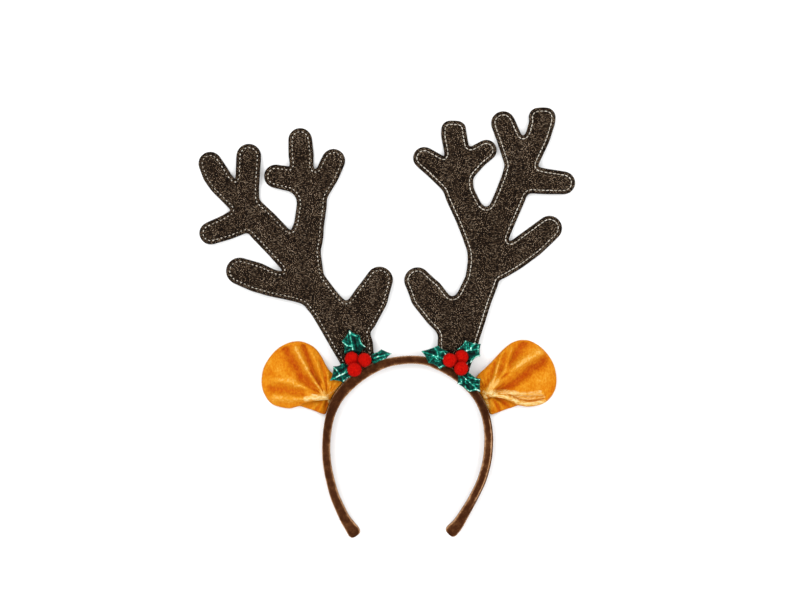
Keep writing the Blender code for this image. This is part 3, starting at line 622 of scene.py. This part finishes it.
def ear_velvet():
    """Orange crushed velvet: painted highlights on lit ridges, painted shade deeper in valleys, cream where
    its back shows.
    """
    shade = Shade(
        "ear_velvet",
        Specular_IOR_Level=0.06,
        Sheen_Weight=0.25,
        Sheen_Roughness=0.35,
        Sheen_Tint=(1.0, 0.62, 0.16, 1),
    )
    crush = shade.between(shade.noise(6.5, 4.0, 0.6), 0.3, 0.7, -0.34, 0.34)
    nap = shade.between(shade.noise(1.3, 2.0, 0.6, (1.0, 0.6, 1.0)), 0.3, 0.7, -0.42, 0.42)
    level = shade.maths("ADD", shade.fact("shade"), shade.maths("ADD", crush, nap))
    colour = shade.ramp(
        shade.between(level, -1.2, 1.2),
        (0.00, (0.350, 0.050, 0.0003)),
        (0.22, (0.415, 0.086, 0.0005)),
        (0.50, (0.495, 0.155, 0.0020)),
        (0.75, (0.560, 0.225, 0.0110)),
        (1.00, (0.670, 0.370, 0.0900)),
    )
    streaks = shade.between(shade.noise(1.1, 2.0, 0.5, (0.35, 1.6, 1.0)), 0.35, 0.65)
    # The cream back takes the folds' painted highlight and shade as well.
    relief = shade.between(level, -1.0, 1.0, -0.45, 0.45)
    cream = shade.ramp(
        shade.maths("ADD", streaks, relief),
        (0.0, (0.50, 0.19, 0.015)),
        (0.35, (0.61, 0.31, 0.048)),
        (0.7, (0.63, 0.42, 0.145)),
        (1.0, (0.69, 0.52, 0.240)),
    )
    torn = shade.between(shade.noise(2.6, 3.0), 0.3, 0.7, -0.12, 0.12)
    rolled = shade.between(shade.maths("ADD", shade.fact("cream"), torn), 0.2, 0.8)
    colour = shade.mix(rolled, colour, cream)
    # Painted shade: darker within about half a millimetre of the rim, where the velvet turns away.
    colour = shade.mix(shade.between(shade.fact("edge"), 0.0, 1.0, 0.0, 0.55), colour, (0.30, 0.13, 0.012))
    pile = shade.maths("ADD", shade.noise(0.35, 2.0), shade.noise(2.2, 3.0))
    shade.bump(pile, 0.22, 0.55)
    rough = shade.between(crush, -0.3, 0.3, 0.85, 0.6)
    return shade.finish(Base_Color=colour, Roughness=rough)


def holly_foil():
    """Metallic green fabric, padded and crinkled, with painted highlights and shade on its creases and
    crinkles.
    """
    shade = Shade("holly_foil", Coat_Weight=0.05, Coat_Roughness=0.15, Specular_IOR_Level=0.15)
    crinkle = shade.noise(1.9, 3.0, 0.55)
    # The crinkles are painted lighter and darker as well: painted reflections.
    level = shade.maths("ADD", shade.fact("shade"), shade.between(crinkle, 0.32, 0.68, -0.5, 0.5))
    colour = shade.ramp(
        shade.between(level, -1.0, 1.2),
        (0.00, (0.000, 0.003, 0.003)),
        (0.32, (0.000, 0.014, 0.012)),
        (0.54, (0.000, 0.062, 0.043)),
        (0.76, (0.004, 0.210, 0.145)),
        (0.89, (0.060, 0.500, 0.370)),
        (1.00, (0.700, 1.000, 0.900)),
    )
    weave = shade.noise(0.35, 1.0)
    rough = shade.between(weave, 0.3, 0.7, 0.22, 0.36)
    height = shade.maths("ADD", crinkle, shade.maths("MULTIPLY", weave, 0.12))
    shade.bump(height, 1.3, 0.9)
    return shade.finish(Base_Color=colour, Metallic=0.8, Roughness=rough)


def berry_felt():
    """Red pompom yarn."""
    shade = Shade(
        "berry_felt",
        Specular_IOR_Level=0.03,
        Sheen_Weight=0.15,
        Sheen_Roughness=0.4,
        Sheen_Tint=(1.0, 0.12, 0.08, 1),
    )
    tufts = shade.noise(1.2, 3.0, 0.6)
    colour = shade.ramp(
        shade.between(tufts, 0.3, 0.7),
        (0.0, (0.32, 0.0012, 0.0006)),
        (0.5, (0.42, 0.0030, 0.0012)),
        (1.0, (0.50, 0.0080, 0.0030)),
    )
    shade.bump(tufts, 0.5, 0.8)
    return shade.finish(Base_Color=colour, Roughness=0.9)


def band_velour():
    """Brown velour over the padded hoop, with a tan sheen painted on its pile along the long edges."""
    shade = Shade(
        "band_velour",
        Specular_IOR_Level=0.03,
        Sheen_Weight=0.12,
        Sheen_Roughness=0.4,
        Sheen_Tint=(0.80, 0.48, 0.25, 1),
    )
    worn = shade.between(shade.noise(4.0, 4.0, 0.6), 0.3, 0.7, -0.4, 0.4)
    pile = shade.between(shade.noise(0.6, 2.0), 0.3, 0.7, -0.3, 0.3)
    level = shade.maths("ADD", shade.fact("shade"), shade.maths("ADD", worn, pile))
    colour = shade.ramp(
        shade.between(level, -1.0, 1.2),
        (0.00, (0.014, 0.003, 0.001)),
        (0.42, (0.044, 0.013, 0.004)),
        (0.66, (0.090, 0.034, 0.012)),
        (1.00, (0.420, 0.235, 0.120)),
    )
    shade.bump(shade.noise(0.5, 2.0), 0.25, 0.7)
    return shade.finish(Base_Color=colour, Roughness=0.92)


def antler_middle(x, y):
    """Height of an antler's middle: level with the band's at the foot, sinking to the floor further up."""
    fall = np.clip((y - FALL_START) / (FALL_END - FALL_START), 0, 1)
    fall = fall * fall * (3 - 2 * fall)
    waves = 0.9 * (1 + np.sin(x / 17.0 + 1.1) * np.cos(y / 21.0))
    return FOOT_LEVEL * (1 - fall) + (PAD_HALF + waves) * fall


def antler_border(inset):
    """Half an antler's thickness without its padding: a flat border with the seam's groove."""
    border = 0.78 * round_edge(inset, 0.55) + 0.14 * np.sin(math.pi * np.clip(inset / STITCH_INSET, 0, 1))
    groove = 0.36 * np.exp(-(((inset - STITCH_INSET) / 0.45) ** 2))
    return border - groove


def simulated_padding(rim):
    """How far the padding lifts one face of an antler, as a function of x and y.

    A sheet of loose cloth is held along the seam and blown up by Blender's cloth simulation, at CLOTH_SCALE
    metres for each millimetre, because the solver is steady at the size of a garment.
    """
    seam = offset_inwards(rim, STITCH_INSET)
    x, y = triangular_grid(rim, CLOTH_SPACING)
    inside = inset_in(x, y, rim) > STITCH_INSET + 0.6 * CLOTH_SPACING
    plan, faces, on_seam = fill_outline(seam, np.column_stack([x[inside], y[inside]]))
    faces = faces.tolist()

    mesh = bpy.data.meshes.new("loose_cloth")
    mesh.from_pydata([(px * CLOTH_SCALE, py * CLOTH_SCALE, 0) for px, py in plan], [], faces)
    cloth = bpy.data.objects.new("loose_cloth", mesh)
    bpy.context.scene.collection.objects.link(cloth)
    held = cloth.vertex_groups.new(name="held")
    held.add(np.flatnonzero(on_seam).tolist(), 1.0, "REPLACE")
    modifier = cloth.modifiers.new("cloth", "CLOTH")
    modifier.settings.vertex_group_mass = "held"
    modifier.settings.use_pressure = True
    modifier.settings.uniform_pressure_force = 4.0
    modifier.settings.shrink_min = CLOTH_SLACK
    modifier.settings.bending_stiffness = 0.3
    modifier.settings.effector_weights.gravity = 0
    modifier.collision_settings.use_collision = False
    for frame_number in range(1, CLOTH_FRAMES + 1):
        bpy.context.scene.frame_set(frame_number)
    settled = cloth.evaluated_get(bpy.context.evaluated_depsgraph_get())
    points = np.array([vertex.co for vertex in settled.data.vertices]) / CLOTH_SCALE
    bpy.context.scene.frame_set(1)
    bpy.data.objects.remove(cloth)
    bpy.data.meshes.remove(mesh)

    tree = BVHTree.FromPolygons(points.tolist(), faces)
    lift = PADDING_LIFT / np.percentile(points[:, 2], 95)

    def padding(x, y):
        heights = []
        for px, py in zip(x, y):
            hit = tree.ray_cast(Vector((px, py, 500.0)), Vector((0, 0, -1)))[0]
            heights.append(max(hit.z, 0.0) if hit else 0.0)
        return np.minimum(np.array(heights) * lift, PADDING_LIFT * 1.05)

    return padding


def make_antler(node, fabric):
    rim = smooth_outline(cad_outline(node), 1.0, 2.2, 55)
    padding = simulated_padding(rim)

    def surface(x, y, inset):
        half = antler_border(inset) + padding(x, y)
        edge = np.exp(-inset / 0.35)
        return antler_middle(x, y), half, {"edge": edge}

    piece = soft_sheet(node + "_fabric", rim, ANTLER_RINGS, ANTLER_SPACING, surface, fabric)
    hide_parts(node)
    return rim


def make_stitches(name, rim, length, radius, material, seed):
    """Topstitching on both faces of an antler: each stitch a short arched thread whose ends sink in."""
    rng = np.random.default_rng(RANDOM_SEED + seed)
    seam = offset_inwards(rim, STITCH_INSET)
    band = smooth_path(BAND_LINE, 3.0)[:, :2]
    seam = resample(seam, STITCH_PITCH, closed=True)
    along = np.roll(seam, -1, axis=0) - np.roll(seam, 1, axis=0)
    along /= np.linalg.norm(along, axis=1)[:, None]
    clear = line_distance(seam[:, 0], seam[:, 1], band) > STITCH_CLEARANCE
    # along the stitch, share of the thread's width, and height above the seam
    half_arch = ((0.72, 0.85, -0.05), (1.0, 0.35, -0.42))
    stations = (*((-t, width, lift) for t, width, lift in half_arch[::-1]), (0.0, 1.0, 0.16), *half_arch)
    sides = STITCH_SIDES
    points, faces = [], []
    for (x, y), (tx, ty) in zip(seam[clear], along[clear]):
        for face_side in (1, -1):
            slant = rng.uniform(-0.10, 0.16)
            dx, dy = tx - slant * ty, ty + slant * tx
            reach = length / 2 * rng.uniform(0.88, 1.08)
            base = len(points)
            for t, width, lift in stations:
                px, py = x + t * reach * dx, y + t * reach * dy
                level = antler_middle(px, py) + face_side * (antler_border(STITCH_INSET) + lift + 0.1)
                for k in range(sides):
                    turn = 2 * math.pi * k / sides
                    out, up = math.cos(turn) * width * radius, math.sin(turn) * width * radius * 0.8
                    points.append((px - dy * out, py + dx * out, level + up))
            for i in range(len(stations) - 1):
                for k in range(sides):
                    a, b = base + i * sides + k, base + i * sides + (k + 1) % sides
                    faces.append((a, a + sides, b + sides, b))
            faces.append(tuple(base + k for k in range(sides)))
            faces.append(tuple(base + (len(stations) - 1) * sides + k for k in reversed(range(sides))))
    piece = new_piece(name, points, faces, material)


def make_ear(node, velvet, pinch, roll, folds, cream, flap_folds, flap_cream, in_front, in_flap):
    """The ear's front layer, rolled under along its lower edge, and the flap that shows below the roll."""
    whole = smooth_outline(cad_outline(node), 0.8, 2.0, 50)
    front = smooth_outline(cut_outline(whole, smooth_path(roll, 0.8), in_front), 0.8, 1.6, 50)
    flap_top = np.array(roll) + (0.0, 5.0)
    flap = smooth_outline(cut_outline(whole, smooth_path(flap_top, 0.8), in_flap), 0.8, 1.2, 50)

    def strips(x, y, rows):
        wobble = 0.5 * soft_noise(x, y, 6.0, 3)
        masks = [s * np.clip(1.5 - (line_distance(x, y, line) + wobble) / w, 0, 1) for line, w, s in rows]
        return np.max(masks, axis=0)

    def gathers(x, y):
        """Small pleats that spread from the pinch, as a height between -1 and 1."""
        dx, dy = x - pinch[0], y - pinch[1]
        reach = np.hypot(dx, dy)
        fading = np.exp(-reach / 11.0) * (1 - np.exp(-((reach / 2.5) ** 2)))
        return np.sin(PLEATS * np.arctan2(dy, dx) + 0.9 * soft_noise(x, y, 9.0, 8)) * fading * 1.6

    def front_surface(x, y, inset):
        from_rim = np.maximum(inset_in(x, y, whole), 0)
        fade = np.clip(from_rim / 2.5, 0, 1)
        dome = EAR_DOME * (1 - np.exp(-from_rim / 8.0))
        crumple = 0.22 * soft_noise(x, y, 7.0, 4) + 0.12 * soft_noise(x, y, 3.2, 5)
        pleats = gathers(x, y)
        middle = EAR_RIM_LEVEL + dome + fade * (fold_sum(x, y, folds, 2) + crumple + 0.5 * pleats)
        half = 1.55 * round_edge(inset, 1.5)
        facts = {
            # Painted highlight on the ridges of the folds and pleats, painted shade in their valleys.
            "shade": np.clip(fold_sum(x, y, folds, 3) + 0.45 * pleats, -1.1, 1.1) * fade,
            "cream": strips(x, y, cream),
            "edge": np.exp(-from_rim / 0.5),
        }
        return np.maximum(middle, half + 0.6), half, facts

    def flap_surface(x, y, inset):
        folded = np.clip(inset / 2, 0, 1) * fold_sum(x, y, flap_folds, 2)
        middle = FLAP_LEVEL + 1.0 * (1 - np.exp(-inset / 4.0)) + folded
        half = 0.85 * round_edge(inset, 0.9)
        facts = {
            # Painted highlight and shade of the flap's folds, the whole flap a little darker.
            "shade": fold_sum(x, y, flap_folds, 3) - 0.15,
            "cream": strips(x, y, flap_cream),
            "edge": np.exp(-inset / 0.5),
        }
        return np.maximum(middle, half + 0.3), half, facts

    ear = soft_sheet(node + "_velvet", front, EAR_RINGS, EAR_SPACING, front_surface, velvet)
    under = soft_sheet(node + "_flap", flap, EAR_RINGS, FLAP_SPACING, flap_surface, velvet)
    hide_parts(node)


def make_leaf(node, foil):
    """A padded leaf over its CAD outline, creased where the photograph shows light lines."""
    rim = smooth_outline(cad_outline(node), 0.5, 0.8, 40)
    low, high = (np.array(corner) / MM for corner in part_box(node))
    creases = LEAF_CREASES[node]
    slope_x, slope_y = LEAF_TILTS[node]

    def level(x, y):
        middle = (low[2] + high[2]) / 2
        return middle + slope_x * (x - rim[:, 0].mean()) + slope_y * (y - rim[:, 1].mean())

    def surface(x, y, inset):
        raised = fold_sum(x, y, creases, 2)
        crinkle = 0.16 * soft_noise(x, y, 2.6, 6) + 0.1 * soft_noise(x, y, 1.4, 7)
        puff = 0.85 * (1 - np.exp(-inset / 1.1))
        half = 0.22 * round_edge(inset, 0.3) + puff + np.clip(inset / 0.8, 0, 1) * (0.75 * raised + crinkle)
        half = np.maximum(half, 0.2 * round_edge(inset, 0.3))
        # Painted highlight in a thin line just inside the leaf's edge.
        edge_highlight = 0.55 * np.exp(-(((inset - 0.35) / 0.3) ** 2))
        # Painted highlight along the crease ridges and painted shade along the valleys; the rest 0.15 darker.
        shade = 1.15 * np.clip(raised, -0.8, 1.2) - 0.15 + edge_highlight
        return level(x, y) + 0.3 * np.clip(inset / 3, 0, 1), half, {"shade": shade}

    piece = soft_sheet(node + "_foil", rim, LEAF_RINGS, LEAF_SPACING, surface, foil)
    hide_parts(node)


def fuzz(name, points, normals, lengths, width, lean, material, seed):
    """Short fibres, each one thin triangle that stands on a point and leans at random."""
    rng = np.random.default_rng(RANDOM_SEED + seed)
    count = len(points)
    directions = normals + lean * rng.normal(size=(count, 3))
    directions /= np.linalg.norm(directions, axis=1)[:, None]
    aside = np.cross(directions, rng.normal(size=(count, 3)))
    aside *= (width / 2) / np.linalg.norm(aside, axis=1)[:, None]
    tips = points + directions * lengths[:, None]
    corners = np.stack([points - aside, points + aside, tips], axis=1).reshape(-1, 3)
    return new_piece(name, corners, np.arange(3 * count).reshape(-1, 3), material, smooth=False)


def ball_points(count):
    """Points spread evenly over a ball of radius 1."""
    index = np.arange(count) + 0.5
    height = 1 - 2 * index / count
    turn = index * math.pi * (3 - math.sqrt(5))
    flat = np.sqrt(1 - height**2)
    return np.column_stack([flat * np.cos(turn), flat * np.sin(turn), height])


def make_berry(node, felt, seed):
    """A red pompom: an uneven core with short fibres all over."""
    low, high = (np.array(corner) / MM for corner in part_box(node))
    centre = (low + high) / 2 - [*CENTRING, 0]
    radius = (high[0] - low[0]) / 2
    columns, rows = BERRY_COLUMNS, BERRY_ROWS

    def core(way):
        x, y, z = (way * radius).T
        tufts = 0.16 * soft_noise(x + 1.7 * z, y - 1.3 * z, 3.4, seed)
        tufts = tufts + 0.1 * soft_noise(x - z, y + z, 1.6, seed + 1)
        return centre + way * (radius + BERRY_SWELL + tufts)[:, None]

    ways = [(0.0, 0.0, -1.0)]
    for i in range(1, rows):
        for j in range(columns):
            down, turn = math.pi * i / rows, 2 * math.pi * j / columns
            ways.append((math.sin(down) * math.cos(turn), math.sin(down) * math.sin(turn), -math.cos(down)))
    ways.append((0.0, 0.0, 1.0))
    top = len(ways) - 1
    faces = []
    for j in range(columns):
        k = (j + 1) % columns
        faces.append((0, 1 + k, 1 + j))
        faces.append((top, top - columns + j, top - columns + k))
        for i in range(rows - 2):
            a, b = 1 + i * columns + j, 1 + i * columns + k
            faces.append((a, b, b + columns, a + columns))
    piece = new_piece(node + "_felt", core(np.array(ways)), faces, felt)
    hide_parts(node)
    rng = np.random.default_rng(RANDOM_SEED + seed)
    spread = ball_points(BERRY_FIBRES) + rng.normal(size=(BERRY_FIBRES, 3)) * 0.02
    spread /= np.linalg.norm(spread, axis=1)[:, None]
    lengths = rng.uniform(0.45, 1.1, len(spread))
    fibres = fuzz(node + "_fibres", core(spread) - 0.1 * spread, spread, lengths, 0.13, 0.45, felt, seed + 2)


def rounded_ring(half, tall, corner):
    """Points round a rounded rectangle: across, height, and the two parts of the way that each faces."""

    def on_corner(side, up, degrees):
        way = math.cos(math.radians(degrees)), math.sin(math.radians(degrees))
        return side * (half - corner) + corner * way[0], up * (tall - corner) + corner * way[1], *way

    corners = ((1, 1, 0), (-1, 1, 90), (-1, -1, 180), (1, -1, 270))
    ring = []
    for (side, up, start), after in zip(corners, corners[1:] + corners[:1]):
        ring += [on_corner(side, up, start + turn) for turn in np.linspace(0, 90, 7)]
        here, there = ring[-1], on_corner(*after)
        for t in np.linspace(0, 1, 5)[1:-1]:
            ring.append((*(a + t * (b - a) for a, b in zip(here[:2], there)), *here[2:]))
    return ring


def make_band(velour):
    """The hoop: a rounded rectangle swept along its line, with rounded ends, a seam, a fine pile and a
    painted sheen.
    """
    rows = smooth_path(BAND_LINE, 1.3)
    tangents = np.gradient(rows[:, :2], axis=0)
    tangents /= np.linalg.norm(tangents, axis=1)[:, None]
    stations = [(row[0], row[1], row[2], 1.0, tangent) for row, tangent in zip(rows, tangents)]
    for index, way in ((0, -1), (-1, 1)):
        x, y, half = rows[index]
        tangent = tangents[index]
        for turn in (12, 24, 36, 48, 60, 70, 79, 86):
            reach, shrink = 0.85 * half * math.sin(math.radians(turn)), math.cos(math.radians(turn)) ** 0.5
            centre = np.array([x, y]) + way * reach * tangent
            station = (centre[0], centre[1], half * shrink, 0.55 + 0.45 * shrink, tangent)
            stations.insert(0 if way < 0 else len(stations), station)

    points, normals, shades = [], [], []
    for x, y, half, flatten, tangent in stations:
        outward = np.array([-tangent[1], tangent[0]])
        corner = min(BAND_CORNER, half * 0.85)
        tall = BAND_DEPTH * flatten / 2
        ring = rounded_ring(half, tall, corner)
        for across, height, nx, nz in ring:
            seamed = min(max((y - SEAM_MIN_Y) / SEAM_LOW_FADE, 0), 1)
            seamed *= min(max((SEAM_MAX_Y - y) / SEAM_HIGH_FADE, 0), 1)
            seamed *= (height > 0) * (x > SEAM_MIN_X)
            seam = np.exp(-((across - SEAM_ACROSS) / SEAM_WIDTH) ** 2) * seamed
            beyond = (across > SEAM_ACROSS) * seamed
            lift = 0.25 * seam - 0.6 * beyond * (across - SEAM_ACROSS)
            px, py = x + across * outward[0], y + across * outward[1]
            points.append((px, py, BAND_DEPTH / 2 + height + lift))
            normals.append((nx * outward[0], nx * outward[1], nz))
            from_edge = max(half - abs(across), 0.0)
            # Painted sheen: tan painted along each long edge where the pile catches the light, brighter on
            # the front edges than the back.
            painted_sheen = 1.25 * math.exp(-((from_edge / (0.7 if across > 0 else 1.0)) ** 1.5)) - 0.1
            painted_sheen *= min(1.0, abs(height) / (tall - corner)) ** 3 * (1.0 if height > 0 else 0.35)
            shadow = 0.4 * math.exp(-(((y - EAR_SHADOW_Y) / EAR_SHADOW_REACH) ** 2))
            shades.append(painted_sheen * (1 - 0.6 * beyond) + 1.9 * seam - 0.2 * beyond - shadow)
    around = len(ring)
    faces = []
    for i in range(len(stations) - 1):
        for j in range(around):
            k = (j + 1) % around
            faces.append((i * around + j, i * around + k, (i + 1) * around + k, (i + 1) * around + j))
    faces.append(tuple(reversed(range(around))))
    faces.append(tuple((len(stations) - 1) * around + j for j in range(around)))
    points, normals, shades = np.array(points), np.array(normals), np.array(shades)
    faces = [tuple(reversed(face)) for face in faces]
    piece = new_piece("headband_velour", points, faces, velour, shade=shades)
    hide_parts("headband")

    rng = np.random.default_rng(RANDOM_SEED + 40)
    quads = np.array([face for face in faces if len(face) == 4])
    chosen = quads[rng.integers(0, len(quads), PILE_FIBRES)]
    u, v = rng.uniform(size=(2, len(chosen), 1))
    weights = ((1 - u) * (1 - v), u * (1 - v), u * v, (1 - u) * v)
    roots = sum(w * points[chosen[:, i]] for i, w in enumerate(weights))
    ways = sum(w * normals[chosen[:, i]] for i, w in enumerate(weights))
    lengths = rng.uniform(0.2, 0.5, len(chosen))
    fibres = fuzz("headband_pile", roots - 0.05 * ways, ways, lengths, 0.12, 0.35, velour, 41)
    # The fibres carry the hoop's painted sheen and shadow, plus 0.25 more painted sheen, as pile tips
    # catching the light.
    values = np.repeat(sum(w[:, 0] * shades[chosen[:, i]] for i, w in enumerate(weights)) + 0.25, 3)
    fibres.data.attributes.new("shade", "FLOAT", "POINT").data.foreach_set("value", values.astype(np.float32))


# The view, in metres. Soft lights: name, place, width and power.
LIGHTS = (
    ("key_light", (-0.9, 0.9, 1.5), 1.2, 18.0),
    ("right_light", (1.1, 0.7, 1.4), 1.2, 12.0),
    ("fill_light", (0.9, -1.1, 1.4), 1.2, 11.0),
    ("left_light", (-1.1, -0.9, 1.4), 1.2, 9.5),
)
SKY_STRENGTH, SKY_HORIZON, SKY_ZENITH = 1.4, 1.0, 0.42
FLOOR_HALF = 4.0
CAMERA_PLACE = (0.01015, 0.01703, 1.709)
LENS_MM, SENSOR_MM = 100.0, 36.0


def set_up_view():
    """The floor, the lights and the camera, which looks straight down as the photograph does."""
    floor_mesh = bpy.data.meshes.new("floor")
    corners = [(x * FLOOR_HALF, y * FLOOR_HALF, 0) for x, y in ((-1, -1), (1, -1), (1, 1), (-1, 1))]
    floor_mesh.from_pydata(corners, [], [(0, 1, 2, 3)])
    pale = Shade("floor_paper", Roughness=0.9, Specular_IOR_Level=0.1)
    tone = pale.between(pale.noise(60.0, 2.0), 0.3, 0.7)
    pale.finish(Base_Color=pale.ramp(tone, (0.0, (0.93, 0.93, 0.93)), (1.0, (0.96, 0.96, 0.96))))
    floor_mesh.materials.append(pale.material)
    floor = bpy.data.objects.new("floor", floor_mesh)
    bpy.context.scene.collection.objects.link(floor)

    world = bpy.data.worlds.new("studio")
    world.use_nodes = True
    nodes, links = world.node_tree.nodes, world.node_tree.links
    place = nodes.new("ShaderNodeTexCoord")
    split = nodes.new("ShaderNodeSeparateXYZ")
    ramp = nodes.new("ShaderNodeValToRGB")
    ramp.color_ramp.elements[0].color = (*[SKY_HORIZON] * 3, 1)
    ramp.color_ramp.elements[1].color = (*[SKY_ZENITH] * 3, 1)
    links.new(place.outputs["Generated"], split.inputs[0])
    links.new(split.outputs["Z"], ramp.inputs["Fac"])
    links.new(ramp.outputs["Color"], nodes["Background"].inputs["Color"])
    nodes["Background"].inputs["Strength"].default_value = SKY_STRENGTH
    bpy.context.scene.world = world

    for name, place, size, power in LIGHTS:
        light = bpy.data.lights.new(name, "AREA")
        light.shape = "DISK"
        light.size = size
        light.energy = power
        lamp = bpy.data.objects.new(name, light)
        lamp.location = place
        lamp.rotation_euler = (-Vector(place)).to_track_quat("-Z", "Y").to_euler()
        bpy.context.scene.collection.objects.link(lamp)

    camera = bpy.data.cameras.new("camera")
    camera.lens = LENS_MM
    camera.sensor_width = SENSOR_MM
    camera.sensor_fit = "HORIZONTAL"
    eye = bpy.data.objects.new("camera", camera)
    eye.location = CAMERA_PLACE
    bpy.context.scene.collection.objects.link(eye)
    bpy.context.scene.camera = eye
    bpy.context.scene.view_settings.view_transform = "Standard"


antler_cloth = antler_fabric()
cream_thread = thread()
for side, length, radius, seed in (("left", 1.7, 0.33, 10), ("right", 2.9, 0.34, 11)):
    antler_rim = make_antler(f"antler_{side}", antler_cloth)
    make_stitches(f"antler_{side}_stitches", antler_rim, length, radius, cream_thread, seed)

velvet = ear_velvet()
for ear, parts in EARS.items():
    make_ear(ear, velvet, **parts)
foil = holly_foil()
for leaf in LEAF_CREASES:
    make_leaf(leaf, foil)
felt = berry_felt()
for number, berry in enumerate(name for name in sorted(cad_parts) if name.startswith("berry_")):
    make_berry(berry, felt, 20 + 3 * number)
make_band(band_velour())
set_up_view()
